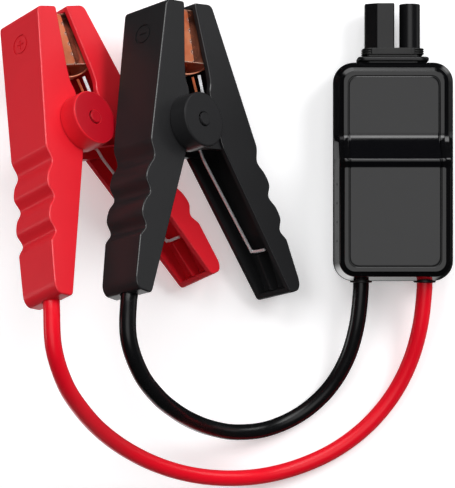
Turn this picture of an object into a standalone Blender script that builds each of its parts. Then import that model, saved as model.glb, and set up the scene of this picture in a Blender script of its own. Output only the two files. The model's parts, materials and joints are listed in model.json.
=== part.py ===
"""Jumper-cable lead of a jump starter: a control box with a twin-barrel plug, two cables and two sprung clamps.

Lengths below are millimetres and are turned into metres when a mesh is made. The origin is the table under
the middle of the lead, +X to the side of the control box, +Y towards the plug and the clamps' jaws, +Z up.
Each clamp is built in a frame of its own, held by an empty on the clamp's pivot: X across the opening,
Y along the jaws, Z along the pivot pin. The pin is off the middle plane, on the side of the fixed half.
"""

from math import cos, pi, radians, sin

import bmesh
import bpy
from mathutils import Euler, Matrix, Vector

MM = 0.001
GAP = 0.3  # between two pieces that touch
ORIGIN = Vector((0.121, -0.091, 0))  # the middle of the lead on the table, in the layout's own millimetres

# Control box.
BOX_CENTRE = Vector((61.4, -6.2, 0))
BOX_WIDTH = 44.4
BOX_LENGTH = 81.0
BOX_CORNER = 7.5
BOX_WALL = 2.2
SPLIT_Z = 12.0
LOW_TOP = 19.6  # face of the end with the plug
HIGH_TOP = 26.0  # face of the end with the cables
SLOPE_START = 12.3  # along the box, where the step's slope leaves the low face
RIDGE = 4.1
RIDGE_RISE = 0.5
BEVEL_END = 1.1
PANEL_INSET = 5.6
PANEL_CORNER = 3.0
PANEL_THICK = 0.7
SCREW_X = 16.0
SCREW_YS = (-28.0, 33.0)
SCREW_HOLE_R = 1.7
CABLE_OFFSET = 11.8  # of each cable from the middle of the box
CABLE_Z = SPLIT_Z
PLUG_Z = 10.0

# Plug.
SQUARE_BARREL_X = -4.95
SQUARE_BARREL_SIDE = 10.7
ROUND_BARREL_X = 6.4
ROUND_BARREL_R = 3.85
BARREL_END = 62.4
BARREL_START = 45.7
FLANGE = (26.4, 1.7, 15.0)
COLLAR = (22.8, 3.0, 13.0)
NECK = (19.0, 10.2)
CONTACT_R = 2.5

# Cables.
CABLE_R = 2.95
ROUTE_STEP = 13.0
STRAIGHT_END = 2.5  # how far a cable runs straight outside its hole
BLACK_ROUTE = (
    (-34.1, -65.6, 70.4),
    (-30.2, -77.8, 65.7),
    (-24.4, -86.6, 56.7),
    (-18.7, -92.4, 45.6),
    (-13.1, -96.8, 33.7),
    (-6.2, -100.4, 22.3),
    (3.2, -102.8, 12.5),
    (15.2, -102.0, 5.8),
    (27.6, -96.6, 3.2),
    (37.8, -87.4, 4.3),
    (44.6, -75.8, 7.4),
    (48.2, -62.9, 10.5),
)
RED_ROUTE = (
    (-59.9, -68.9, 71.3),
    (-56.4, -81.7, 65.0),
    (-51.3, -91.4, 55.2),
    (-45.0, -99.7, 44.6),
    (-36.6, -107.1, 34.9),
    (-26.2, -113.3, 26.5),
    (-14.4, -117.7, 18.8),
    (-1.5, -119.9, 12.0),
    (12.3, -119.7, 6.7),
    (26.4, -116.5, 4.0),
    (39.9, -110.5, 3.2),
    (51.8, -101.7, 3.2),
    (61.4, -90.5, 3.9),
    (68.0, -77.6, 6.3),
    (71.7, -63.7, 9.8),
)

# Clamp: one half, as distances from the clamp's middle plane across the opening and along the jaws.
MIDDLE = 7.7  # from the pivot pin to the middle plane, towards the moving half
OUTER_EDGE = (
    (12.0, 45.8),
    (28.4, -6.6),
    (27.4, -12.4),
    (31.2, -16.6),
    (32.8, -20.7),
    (31.7, -25.0),
    (35.3, -29.0),
    (36.9, -33.3),
    (35.9, -37.5),
    (39.4, -41.1),
    (44.0, -57.1),
    (42.6, -59.9),
)
HANDLE_END = {-1: (36.7, -61.6), 1: (37.8, -61.1)}
INNER_EDGE = ((9.0, -7.0), (5.4, 12.5), (6.6, 16.0), (6.4, 20.0), (2.7, 45.6))
CHANNEL = (
    (9.5, 44.0),
    (25.8, -6.8),
    (24.9, -12.8),
    (29.3, -25.6),
    (33.6, -38.2),
    (36.9, -42.2),
    (41.2, -57.5),
    (27.7, -61.8),
    (-3.5, -7.0),
    (-6.9, 14.0),
    (-4.5, 44.0),
)
CLAMP_WIDTH = 19.6  # at the pivot
CLAMP_TAPER = 0.0424  # added to the width for each millimetre towards the jaws
SIDE_WALL = 1.9
EAR_R = 10.0
EAR_CLEARANCE_R = 10.4
INNER_EAR_R = 9.4
INNER_EAR = (6.0, 7.6)
PIN_R = 2.35
CAP_BASE = 10.1
CAP_BASE_R = 10.3
CAP_TOP_R = 10.0
CAP_WALL = 1.8
CAP_HUB_R = 5.0
FRONT_CAP_TOP = 17.2
BACK_CAP_TOP = 14.0
PIN_PROUD = 0.6  # beyond each cap
JAW_SHEET = 1.2
JAW_START = 23.6
JAW_END = 43.6
JAW_SIDE = 8.0  # outside of the jaw plate, from the middle of the clamp
TOOTH_PITCH = 4.0
TOOTH_DEPTH = 1.8
SPRING_R = 4.9
WIRE_R = 0.6
SPRING_TURNS = 4.5
SPRING_PITCH = 2.15
CABLE_HOLE = Vector((MIDDLE - 38.9, -59.9, 0))  # where the cable leaves its handle
CABLE_IN = Vector((0.36, 0.933, 0)).normalized()  # the way the cable runs up inside its handle
LUG_START = 14.0
LUG_LENGTH = 11.0
LUG_R = 3.7
LUG_BORE_DEPTH = 9.0
RIVET_POINT = Vector((MIDDLE - 25.3, -17.0, 0))
RIVET_AXIS = Vector((-0.957, 0.29, 0))
RIVET_HOLE_R = 1.6

CLAMPS = {
    # name: middle of the pivot pin, and the clamp's turn about Z, its dip of the jaws and its roll, in degrees
    "black": (Vector((-20.8, 8.3, 36.0)), 7.5, 8.3, 49.0),
    "red": (Vector((-59.1, 6.7, 36.1)), 17.9, 8.9, 50.6),
}


def clear_scene():
    for obj in list(bpy.data.objects):
        bpy.data.objects.remove(obj, do_unlink=True)


def material(name, colour, roughness, metallic=0.0):
    made = bpy.data.materials.new(name)
    made.use_nodes = True
    shader = made.node_tree.nodes["Principled BSDF"]
    shader.inputs["Base Color"].default_value = (*colour, 1)
    shader.inputs["Roughness"].default_value = roughness
    shader.inputs["Metallic"].default_value = metallic
    return made


def put(name, bm, look, parent=None):
    """The bmesh, in millimetres, as a named object in metres."""
    bmesh.ops.scale(bm, vec=(MM, MM, MM), verts=bm.verts)
    bmesh.ops.recalc_face_normals(bm, faces=bm.faces)
    mesh = bpy.data.meshes.new(name)
    bm.to_mesh(mesh)
    bm.free()
    obj = bpy.data.objects.new(name, mesh)
    bpy.context.scene.collection.objects.link(obj)
    obj.parent = parent
    if look:
        mesh.materials.append(look)
        mesh.shade_smooth()
        mesh.set_sharp_from_angle(angle=radians(35))
    return obj


def prism(outline, low, high):
    """A bmesh of the outline in the XY plane, extruded along Z. low and high are heights or functions of (x, y)."""
    bm = bmesh.new()
    rims = []
    for level in (low, high):
        rims.append([bm.verts.new((x, y, level(x, y) if callable(level) else level)) for x, y in outline])
    bottom, top = rims
    bm.faces.new(bottom)
    bm.faces.new(top)
    for i in range(len(outline)):
        j = (i + 1) % len(outline)
        bm.faces.new((bottom[i], bottom[j], top[j], top[i]))
    return bm


def turned(profile, steps=24):
    """A bmesh turned about Z from (radius, height) points; a radius of 0 closes an end."""
    bm = bmesh.new()
    rings = []
    for radius, height in profile:
        if radius == 0:
            rings.append([bm.verts.new((0, 0, height))] * steps)
        else:
            angles = [2 * pi * i / steps for i in range(steps)]
            rings.append([bm.verts.new((radius * cos(a), radius * sin(a), height)) for a in angles])
    if profile[0][0] and profile[-1][0]:
        rings.append(rings[0])
    for a, b in zip(rings, rings[1:]):
        for i in range(steps):
            j = (i + 1) % steps
            corners = list(dict.fromkeys((a[i], a[j], b[j], b[i])))
            if len(corners) > 2:
                bm.faces.new(corners)
    return bm


def rod(radius, low, high, steps=24):
    return turned(((0, low), (radius, low), (radius, high), (0, high)), steps)


def block(low, high):
    return prism(
        ((low[0], low[1]), (high[0], low[1]), (high[0], high[1]), (low[0], high[1])), low[2], high[2]
    )


def moved(bm, matrix):
    bmesh.ops.transform(bm, matrix=matrix, verts=bm.verts)
    return bm


def along(start, direction):
    """The matrix that carries the Z axis to a line from start along direction."""
    turn = Vector(direction).to_track_quat("Z", "Y").to_matrix().to_4x4()
    return Matrix.Translation(start) @ turn


def combine(obj, operation, name, bm):
    """Adds a Boolean with a hidden helper made from the bmesh."""
    helper = put(name, bm, None, obj.parent)
    helper.hide_render = True
    helper.display_type = "WIRE"
    step = obj.modifiers.new(name, "BOOLEAN")
    step.operation = operation
    step.solver = "EXACT"
    step.object = helper


def cut(obj, name, bm):
    combine(obj, "DIFFERENCE", name, bm)


def join(obj, name, bm):
    combine(obj, "UNION", name, bm)


def rounded_rectangle(width, length, corner, steps=5, extra=()):
    """Points of a rounded rectangle, anticlockwise, with extra points on both long sides at the given heights."""
    points = []
    corners = (
        (width / 2 - corner, -length / 2 + corner, -90),
        (width / 2 - corner, length / 2 - corner, 0),
        (-width / 2 + corner, length / 2 - corner, 90),
        (-width / 2 + corner, -length / 2 + corner, 180),
    )
    for number, (x, y, start) in enumerate(corners):
        for i in range(steps + 1):
            angle = radians(start + 90 * i / steps)
            points.append((x + corner * cos(angle), y + corner * sin(angle)))
        if number == 0:
            points += [(width / 2, y) for y in sorted(extra)]
        if number == 2:
            points += [(-width / 2, y) for y in sorted(extra, reverse=True)]
    return points


def smooth_route(knots, step):
    """Points about a step apart on a smooth curve from the second knot to the last but one."""
    fine = []
    for a, b, c, d in zip(knots, knots[1:], knots[2:], knots[3:]):
        for i in range(20):
            t = i / 20
            fine.append(
                0.5 * (2 * b + (c - a) * t + (2 * a - 5 * b + 4 * c - d) * t**2 + (3 * b - a - 3 * c + d) * t**3)
            )
    fine.append(knots[-2])
    lengths = [0.0]
    for a, b in zip(fine, fine[1:]):
        lengths.append(lengths[-1] + (b - a).length)
    count = max(2, round(lengths[-1] / step))
    spaced = []
    for number in range(count + 1):
        target = lengths[-1] * number / count
        i = next((k for k in range(1, len(lengths)) if lengths[k] >= target - 1e-9), len(lengths) - 1)
        share = (target - lengths[i - 1]) / (lengths[i] - lengths[i - 1])
        spaced.append(fine[i - 1].lerp(fine[i], min(max(share, 0), 1)))
    return spaced


def tube(name, points, radius, look, parent=None, resolution=2):
    data = bpy.data.curves.new(name, "CURVE")
    data.dimensions = "3D"
    data.bevel_depth = radius * MM
    data.bevel_resolution = resolution
    data.use_fill_caps = True
    spline = data.splines.new("POLY")
    spline.points.add(len(points) - 1)
    for spot, point in zip(spline.points, points):
        spot.co = (*(Vector(point) * MM), 1)
    data.materials.append(look)
    obj = bpy.data.objects.new(name, data)
    bpy.context.scene.collection.objects.link(obj)
    obj.parent = parent
    return obj


def empty(name, location, turn=None):
    obj = bpy.data.objects.new(name, None)
    bpy.context.scene.collection.objects.link(obj)
    obj.location = location * MM
    if turn:
        obj.rotation_euler = turn.to_euler()
    return obj


# ---------------------------------------------------------------- control box


def face_height(y):
    """Height of the box's face along its length: low end, slope, ridge, small bevel, high end."""
    stops = (
        (SLOPE_START, LOW_TOP),
        (RIDGE, HIGH_TOP + RIDGE_RISE),
        (BEVEL_END, HIGH_TOP),
    )
    if y >= SLOPE_START:
        return LOW_TOP
    if y <= BEVEL_END:
        return HIGH_TOP
    for (y1, z1), (y2, z2) in zip(stops, stops[1:]):
        if y >= y2:
            return z1 + (z2 - z1) * (y1 - y) / (y1 - y2)
    return HIGH_TOP


STEP_YS = (BEVEL_END, RIDGE, SLOPE_START)


def stepped_rings(rings):
    """Lofts rounded rectangles given as (inset, depth below the face or None, height); caps both ends."""
    bm = bmesh.new()
    loops = []
    for inset, depth, height in rings:
        corner = max(BOX_CORNER - inset, PANEL_CORNER)
        outline = rounded_rectangle(
            BOX_WIDTH - 2 * inset, BOX_LENGTH - 2 * inset, corner, extra=STEP_YS
        )
        loops.append(
            [bm.verts.new((x, y, height if depth is None else face_height(y) - depth)) for x, y in outline]
        )
    for a, b in zip(loops, loops[1:]):
        for i in range(len(a)):
            j = (i + 1) % len(a)
            bm.faces.new((a[i], a[j], b[j], b[i]))
    for loop in (loops[0], loops[-1]):
        half = len(loop) // 2
        right = loop[6:9]
        left = loop[half + 6 : half + 9][::-1]
        bm.faces.new(loop[:6] + [right[0], left[0]] + loop[half + 9 :])
        for i in range(2):
            bm.faces.new((right[i], right[i + 1], left[i + 1], left[i]))
        bm.faces.new([right[2]] + loop[9 : half + 6] + [left[2]])
    return bm


def front_cover(box, look):
    inside = BOX_WALL + 1.2
    rings = (
        (inside + 2.4, 2.4, 0),
        (BOX_WALL, 4.8, 0),
        (BOX_WALL, None, SPLIT_Z + GAP / 2),
        (0, None, SPLIT_Z + GAP / 2),
        (0.4, 4.4, 0),
        (1.5, 1.7, 0),
        (3.3, 0, 0),
        (PANEL_INSET - GAP, 0, 0),
        (PANEL_INSET - GAP, PANEL_THICK + GAP, 0),
    )
    cover = put("front_cover", stepped_rings(rings), look, box)
    for number, (x, y) in enumerate(screw_places(), 1):
        top = face_height(y) - 1.6
        join(cover, f"front_post_{number}", moved(rod(3.2, SPLIT_Z + 0.7, top, 12), Matrix.Translation((x, y, 0))))
        hole = moved(rod(SCREW_HOLE_R, 0, SPLIT_Z + 5.0, 12), Matrix.Translation((x, y, 0)))
        cut(cover, f"front_hole_{number}", hole)
    return cover


def screw_places():
    return [(x, y) for x in (-SCREW_X, SCREW_X) for y in SCREW_YS]


def back_cover(box, look):
    def ring(inset, z):
        corner = BOX_CORNER - inset
        outline = rounded_rectangle(BOX_WIDTH - 2 * inset, BOX_LENGTH - 2 * inset, corner)
        return outline, z

    bm = bmesh.new()
    loops = []
    floor = 2.2
    levels = ((BOX_WALL + 0.6, floor), (BOX_WALL, floor + 0.6), (BOX_WALL, SPLIT_Z - GAP / 2))
    levels += ((0, SPLIT_Z - GAP / 2), (0.5, 2.2), (2.6, 0))
    for inset, z in levels:
        outline, height = ring(inset, z)
        loops.append([bm.verts.new((x, y, height)) for x, y in outline])
    for a, b in zip(loops, loops[1:]):
        for i in range(len(a)):
            j = (i + 1) % len(a)
            bm.faces.new((a[i], a[j], b[j], b[i]))
    bm.faces.new(loops[0])
    bm.faces.new(loops[-1])
    cover = put("back_cover", bm, look, box)
    for number, (x, y) in enumerate(screw_places(), 1):
        place = Matrix.Translation((x, y, 0))
        join(cover, f"back_post_{number}", moved(rod(3.5, 1.0, SPLIT_Z - 0.7, 12), place))
        cut(cover, f"back_hole_{number}", moved(rod(SCREW_HOLE_R, -1, SPLIT_Z + 1, 12), place))
        cut(cover, f"back_counterbore_{number}", moved(rod(3.0, -1, 1.9, 12), place))
    return cover


def face_plate(box, look):
    rings = (
        (PANEL_INSET, PANEL_THICK, 0),
        (PANEL_INSET, 0, 0),
    )
    return put("face_plate", stepped_rings(rings), look, box)


def cover_screws(box, look):
    for number, (x, y) in enumerate(screw_places(), 1):
        shape = turned(((0, 0.6), (2.6, 0.6), (2.6, 1.9), (1.3, 1.9), (1.3, SPLIT_Z + 4.2), (0, SPLIT_Z + 4.2)), 12)
        put(f"cover_screw_{number}", moved(shape, Matrix.Translation((x, y, 0))), look, box)


def plug(box, looks):
    neck_low = BOX_LENGTH / 2 - 9.0
    level = Matrix.Translation((0, 0, PLUG_Z))
    upright = Matrix.Rotation(-pi / 2, 4, "X")  # carries Z to +Y
    width, depth = NECK
    body = put(
        "plug_body",
        moved(block((-width / 2, neck_low, -depth / 2), (width / 2, BARREL_START + 1.6, depth / 2)), level),
        looks["gloss"],
        box,
    )
    side = SQUARE_BARREL_SIDE / 2
    chamfer = 3.2
    outline = (
        (-side + chamfer, -side),
        (side, -side),
        (side, side),
        (-side + chamfer, side),
        (-side, side - chamfer),
        (-side, -side + chamfer),
    )
    square = prism([(x + SQUARE_BARREL_X, z) for x, z in outline], -BARREL_END, -BARREL_START - 0.4)
    join(body, "square_barrel", moved(square, level @ Matrix.Rotation(pi / 2, 4, "X")))
    place = level @ Matrix.Translation((ROUND_BARREL_X, 0, 0)) @ upright
    join(body, "round_barrel", moved(rod(ROUND_BARREL_R, BARREL_START + 0.4, BARREL_END, 20), place))
    for name, x in (("left", SQUARE_BARREL_X), ("right", ROUND_BARREL_X)):
        place = level @ Matrix.Translation((x, 0, 0)) @ upright
        cut(body, f"bore_{name}", moved(rod(CONTACT_R + GAP, neck_low - 1, BARREL_END + 1, 16), place))
        shape = turned(
            (
                (0, neck_low - 4),
                (CONTACT_R, neck_low - 4),
                (CONTACT_R, BARREL_END - 2.6),
                (CONTACT_R - 0.8, BARREL_END - 1.6),
                (CONTACT_R - 0.8, BARREL_END - 9),
                (0, BARREL_END - 9),
            ),
            16,
        )
        put(f"plug_contact_{name}", moved(shape, place), looks["brass"], box)

    def sleeve(name, size, start, look, corner):
        outline = rounded_rectangle(size[0], size[2], corner, 4)
        turn = level @ Matrix.Rotation(pi / 2, 4, "X")
        ring = put(name, moved(prism(outline, -start - size[1], -start), turn), look, box)
        hole = (width + 2 * GAP, depth + 2 * GAP)
        opening = prism(rounded_rectangle(*hole, 0.8, 2), -start - size[1] - 1, -start + 1)
        cut(ring, name + "_opening", moved(opening, turn))
        return ring

    sleeve("plug_flange", FLANGE, BOX_LENGTH / 2 + GAP, looks["gloss"], 3.5)
    sleeve("plug_collar", COLLAR, BOX_LENGTH / 2 + FLANGE[1] + 2 * GAP, looks["rubber"], 3.0)


def box_openings(front, back):
    """The plug's neck and the two grommets pass through both covers."""
    width, depth = NECK
    start = BOX_LENGTH / 2 - 12
    for cover in (front, back):
        low = (-width / 2 - GAP, start, PLUG_Z - depth / 2 - GAP)
        high = (width / 2 + GAP, BOX_LENGTH / 2 + 5, PLUG_Z + depth / 2 + GAP)
        cut(cover, cover.name + "_plug_opening", block(low, high))
        for name, x in (("black", -CABLE_OFFSET), ("red", CABLE_OFFSET)):
            place = Matrix.Translation((x, -BOX_LENGTH / 2, CABLE_Z)) @ Matrix.Rotation(pi / 2, 4, "X")
            cut(cover, f"{cover.name}_{name}_hole", moved(rod(4.4, -6, 5, 20), place))


def grommet(box, name, x, look):
    flange_r, lip_r, neck_r, bore_r = 5.0, 4.7, 4.1, CABLE_R + GAP
    profile = (
        (bore_r, -4.6),
        (flange_r, -4.6),
        (flange_r, -BOX_WALL - GAP - 0.5),
        (neck_r, -BOX_WALL - GAP - 0.5),
        (neck_r, GAP),
        (lip_r, GAP),
        (lip_r - 0.4, 0.9),
        (bore_r, 0.9),
    )
    place = Matrix.Translation((x, -BOX_LENGTH / 2, CABLE_Z)) @ Matrix.Rotation(pi / 2, 4, "X")
    return put(name, moved(turned(profile, 20), place), look, box)


def electronics(box, looks):
    put("circuit_board", block((-15, -24, 5.0), (15, 26, 6.6)), looks["board"], box)
    put("relay_black_side", block((-13.5, -22, 6.9), (-2.0, -4, 19.5)), looks["matte"], box)
    put("relay_red_side", block((2.0, -22, 6.9), (13.5, -4, 19.5)), looks["matte"], box)
    place = Matrix.Translation((8.0, 10.0, 0))
    put("capacitor", moved(rod(4.0, 6.9, 15.8, 16), place), looks["metal"], box)
    put("controller_chip", block((-10, 5, 6.9), (-3, 12, 8.3)), looks["matte"], box)


# ---------------------------------------------------------------- clamps


def half_width(y):
    return (CLAMP_WIDTH + CLAMP_TAPER * y) / 2


def mirrored(points, side):
    """Distances from the middle plane as points of the half on that side."""
    return [(MIDDLE + side * x, y) for x, y in points]


def grip(frame, name, side, look):
    """One plastic half: a channel open towards the other half, with ears round the pivot."""
    outline = mirrored((*OUTER_EDGE, HANDLE_END[side], *INNER_EDGE), side)
    body = put(
        name,
        prism(outline, lambda x, y: -half_width(y), lambda x, y: half_width(y)),
        look,
        frame,
    )
    channel = prism(
        mirrored(CHANNEL, side),
        lambda x, y: SIDE_WALL - half_width(y),
        lambda x, y: half_width(y) - SIDE_WALL,
    )
    cut(body, name + "_channel", channel)
    for face in (-1, 1):
        if side < 0:
            low, high = half_width(0) - SIDE_WALL, half_width(0)
            low, high = sorted((face * low, face * high))
            ear = rod(EAR_R, low, high, 32)
            join(body, f"{name}_ear_{face}", ear)
        else:
            low, high = sorted((face * INNER_EAR[0], face * (half_width(0) - SIDE_WALL + 0.6)))
            corners = ((3.2, -8.2), (MIDDLE + 14.0, -8.2), (MIDDLE + 12.0, 8.2), (3.2, 8.2))
            pad = prism(corners, low + 0.1, high - 0.1)
            join(body, f"{name}_pad_{face}", pad)
            join(body, f"{name}_inner_ear_{face}", rod(INNER_EAR_R, low, high, 32))
            low, high = sorted((face * INNER_EAR[1], face * (half_width(0) + 4)))
            cut(body, f"{name}_ear_clearance_{face}", rod(EAR_CLEARANCE_R, low, high, 32))
    cut(body, name + "_pin_hole", rod(PIN_R + GAP, -half_width(0) - 2, half_width(0) + 2, 20))
    if side < 0:
        inward = along(CABLE_HOLE, CABLE_IN)
        cut(body, name + "_cable_hole", moved(rod(CABLE_R + GAP, -8, LUG_START, 20), inward))
        cut(body, name + "_lug_space", moved(rod(LUG_R + 0.4, LUG_START - 0.6, 30, 20), inward))
    else:
        rib = prism(mirrored(((38.5, -43.5), (31.5, -45.4), (36.6, -58.5), (40.6, -59.2)), side), -0.8, 0.8)
        join(body, name + "_rib", rib)
    return body


def jaw_plate(frame, name, side, look):
    """A copper jaw: a U-shaped sheet with rounded teeth along both free edges."""

    def back(y, depth):
        """The back of the sheet runs along the inside of the grip's outer wall."""
        top, bottom = CHANNEL[0], CHANNEL[1]
        share = (top[1] - y) / (top[1] - bottom[1])
        return top[0] + (bottom[0] - top[0]) * share - 0.5 - depth

    teeth = []
    count = round((JAW_END - JAW_START) / TOOTH_PITCH)
    steps = count * 4
    for i in range(steps + 1):
        y = JAW_START + (JAW_END - JAW_START) * i / steps
        wave = (1 - cos(2 * pi * i / 4)) / 2
        teeth.append((0.2 + TOOTH_DEPTH * wave, y))
    outline = teeth + [(back(JAW_END, 0), JAW_END), (back(JAW_START, 0), JAW_START)]
    plate = put(name, prism(mirrored(outline, side), -JAW_SIDE, JAW_SIDE), look, frame)
    inside = (
        (-3, JAW_START - 2),
        (back(JAW_START - 2, JAW_SHEET), JAW_START - 2),
        (back(JAW_END - JAW_SHEET, JAW_SHEET), JAW_END - JAW_SHEET),
        (-3, JAW_END - JAW_SHEET),
    )
    width = JAW_SIDE - JAW_SHEET
    cut(plate, name + "_inside", prism(mirrored(inside, side), -width, width))
    if side < 0:
        tail = [
            (back(JAW_START + 2, 0) - 0.1, JAW_START + 2),
            (25.3, -6.8),
            (24.4, -12.8),
            (27.7, -22.6),
            (26.5, -22.9),
            (23.2, -12.9),
            (24.1, -6.6),
            (back(JAW_START + 2, JAW_SHEET) + 0.1, JAW_START + 2),
        ]
        join(plate, name + "_tail", prism(mirrored(tail, side), -3.5, 3.5))
        cut(plate, name + "_rivet_hole", moved(rod(RIVET_HOLE_R, -3, 3, 12), rivet_place()))
    return plate


def rivet_place():
    """Through the overlap of the jaw's tail and the lug's tongue."""
    return along(RIVET_POINT, RIVET_AXIS)


def cable_lug(frame, name, look):
    inward = along(CABLE_HOLE, CABLE_IN)
    end = LUG_START + LUG_LENGTH
    lug = put(name, moved(rod(LUG_R, LUG_START, end, 20), inward), look, frame)
    tongue = [
        (30.6, -37.6),
        (25.2, -21.6),
        (22.7, -13.6),
        (21.6, -13.9),
        (24.1, -22.2),
        (28.6, -38.0),
    ]
    join(lug, name + "_tongue", prism(mirrored(tongue, -1), -3.2, 3.2))
    bore = rod(CABLE_R + GAP, LUG_START - 1, LUG_START + LUG_BORE_DEPTH, 20)
    cut(lug, name + "_bore", moved(bore, inward))
    cut(lug, name + "_rivet_hole", moved(rod(RIVET_HOLE_R, -5, 5, 12), rivet_place()))
    return lug


def lug_rivet(frame, name, look):
    profile = ((0, -4.1), (2.4, -4.1), (2.4, -3.2), (1.3, -3.2), (1.3, 0.6), (0, 0.6))
    return put(name, moved(turned(profile, 12), rivet_place()), look, frame)


def spring_path():
    """Torsion spring: a leg in the fixed handle, a coil round the pin, a leg and a hook in the moving handle."""
    low = -SPRING_TURNS * SPRING_PITCH / 2
    start = radians(-150)
    points = [Vector((-16.7, -31.0, low - 0.2)), Vector((-12.2, -23.4, low - 0.2)), Vector((-6.6, -12.0, low - 0.1))]
    per_turn = 10
    steps = round(SPRING_TURNS * per_turn)
    for i in range(steps + 1):
        angle = start - 2 * pi * i / per_turn
        height = low + SPRING_PITCH * i / per_turn
        points.append(Vector((SPRING_R * cos(angle), SPRING_R * sin(angle), height)))
    points += [Vector((12.9, -8.0, -low * 0.9)), Vector((23.5, -24.4, -low * 0.5))]
    points += [Vector((35.0, -41.5, 0.6)), Vector((35.8, -42.8, 1.6)), Vector((35.9, -43.0, 6.2))]
    return points


def strap_band(frame, name, look):
    """A flexible copper strap that joins the two jaw plates across the throat of the clamp."""
    centre = [(-12.4, 28.6), (-12.6, 25.6), (-11.2, 22.4), (-6.6, 20.4), (0, 19.8)]
    centre += [(-x, y) for x, y in reversed(centre[:-1])]
    outer = mirrored(centre, 1)
    inner = mirrored([(x * 0.92, y + 1.0) for x, y in reversed(centre)], 1)
    return put(name, prism(outer + inner, -5.0, 5.0), look, frame)


def build_clamp(colour, pivot, yaw, dip, roll, looks):
    turn = (
        Matrix.Rotation(radians(yaw), 3, "Z")
        @ Matrix.Rotation(radians(-dip), 3, "X")
        @ Matrix.Rotation(radians(roll), 3, "Y")
    )
    frame = empty(colour + "_clamp_frame", pivot - ORIGIN, turn)
    grip(frame, colour + "_fixed_handle", -1, looks[colour])
    grip(frame, colour + "_moving_handle", 1, looks[colour])
    jaw_plate(frame, colour + "_fixed_jaw", -1, looks["copper"])
    jaw_plate(frame, colour + "_moving_jaw", 1, looks["copper"])
    pin = rod(PIN_R, -BACK_CAP_TOP - PIN_PROUD, FRONT_CAP_TOP + PIN_PROUD, 20)
    put(colour + "_pivot_pin", pin, looks["steel"], frame)
    for name, face, top in (("front", 1, FRONT_CAP_TOP), ("back", -1, BACK_CAP_TOP)):
        profile = (
            (PIN_R + GAP, CAP_BASE),
            (CAP_HUB_R, CAP_BASE),
            (CAP_HUB_R, top - CAP_WALL),
            (CAP_TOP_R - CAP_WALL, top - CAP_WALL),
            (CAP_BASE_R - CAP_WALL, CAP_BASE),
            (CAP_BASE_R, CAP_BASE),
            (CAP_TOP_R, top - 0.5),
            (CAP_TOP_R - 0.5, top),
            (PIN_R + GAP, top),
        )
        shape = turned(profile, 32)
        if face < 0:
            moved(shape, Matrix.Rotation(pi, 4, "X"))
        put(f"{colour}_pivot_cap_{name}", shape, looks[colour], frame)
    cable_lug(frame, colour + "_cable_lug", looks["copper"])
    lug_rivet(frame, colour + "_lug_rivet", looks["steel"])
    tube(colour + "_spring", spring_path(), WIRE_R, looks["steel"], frame, 1)
    strap_band(frame, colour + "_jaw_strap", looks["copper"])
    return Matrix.Translation(pivot - ORIGIN) @ turn.to_4x4()


def cable(colour, clamp, route, box_x, look):
    """From the bore of its lug, out of the handle, along the route and into its grommet."""
    depth = LUG_START + LUG_BORE_DEPTH - 0.6
    inside = [clamp @ (CABLE_HOLE + CABLE_IN * s) for s in (depth, depth / 2, -STRAIGHT_END)]
    box_end = BOX_CENTRE - ORIGIN + Vector((box_x, -BOX_LENGTH / 2, CABLE_Z))
    into = [box_end + Vector((0, y, 0)) for y in (-STRAIGHT_END, 6.0)]
    middle = [Vector(p) - ORIGIN for p in route]
    free = smooth_route([*inside[-2:], *middle, *into], ROUTE_STEP)
    return tube(colour + "_cable", inside[:-1] + free + into[-1:], CABLE_R, look, None, 3)


def main():
    clear_scene()
    looks = {
        "black": material("black_plastic", (0.022, 0.022, 0.024), 0.38),
        "red": material("red_plastic", (0.80, 0.025, 0.035), 0.35),
        "gloss": material("gloss_black", (0.012, 0.012, 0.014), 0.16),
        "panel": material("face_panel", (0.055, 0.055, 0.062), 0.22),
        "matte": material("matte_black", (0.03, 0.03, 0.032), 0.6),
        "rubber": material("black_rubber", (0.02, 0.02, 0.02), 0.7),
        "copper": material("copper", (0.80, 0.27, 0.13), 0.28, 1.0),
        "brass": material("contact_brass", (0.85, 0.62, 0.25), 0.25, 1.0),
        "steel": material("spring_steel", (0.62, 0.63, 0.65), 0.28, 1.0),
        "metal": material("capacitor_can", (0.70, 0.72, 0.74), 0.35, 1.0),
        "board": material("circuit_board_green", (0.02, 0.16, 0.06), 0.5),
        "red_cable": material("red_silicone", (0.78, 0.015, 0.035), 0.45),
        "black_cable": material("black_silicone", (0.014, 0.014, 0.016), 0.45),
    }
    box = empty("control_box_frame", BOX_CENTRE - ORIGIN)
    front = front_cover(box, looks["gloss"])
    back = back_cover(box, looks["gloss"])
    box_openings(front, back)
    face_plate(box, looks["panel"])
    cover_screws(box, looks["steel"])
    plug(box, looks)
    grommet(box, "black_grommet", -CABLE_OFFSET, looks["rubber"])
    grommet(box, "red_grommet", CABLE_OFFSET, looks["rubber"])
    electronics(box, looks)
    for colour, route, x in (("black", BLACK_ROUTE, -CABLE_OFFSET), ("red", RED_ROUTE, CABLE_OFFSET)):
        clamp = build_clamp(colour, *CLAMPS[colour], looks)
        cable(colour, clamp, route, x, looks[colour + "_cable"])


main()
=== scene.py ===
"""The looks of a jump starter's cable lead: control box with a twin-barrel plug, two cables and two clamps.

Lengths in the shape functions are millimetres in the frame of the box or of a clamp, which put() turns into
metres in the row frame. The box frame stands on the table under the middle of the control box. A clamp frame
has its origin on the pivot pin, with X across the opening, Y towards the jaws and Z along the pin.
"""

import json
from math import cos, pi, radians, sin

import bmesh
import bpy
from mathutils import Matrix, Vector


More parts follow.
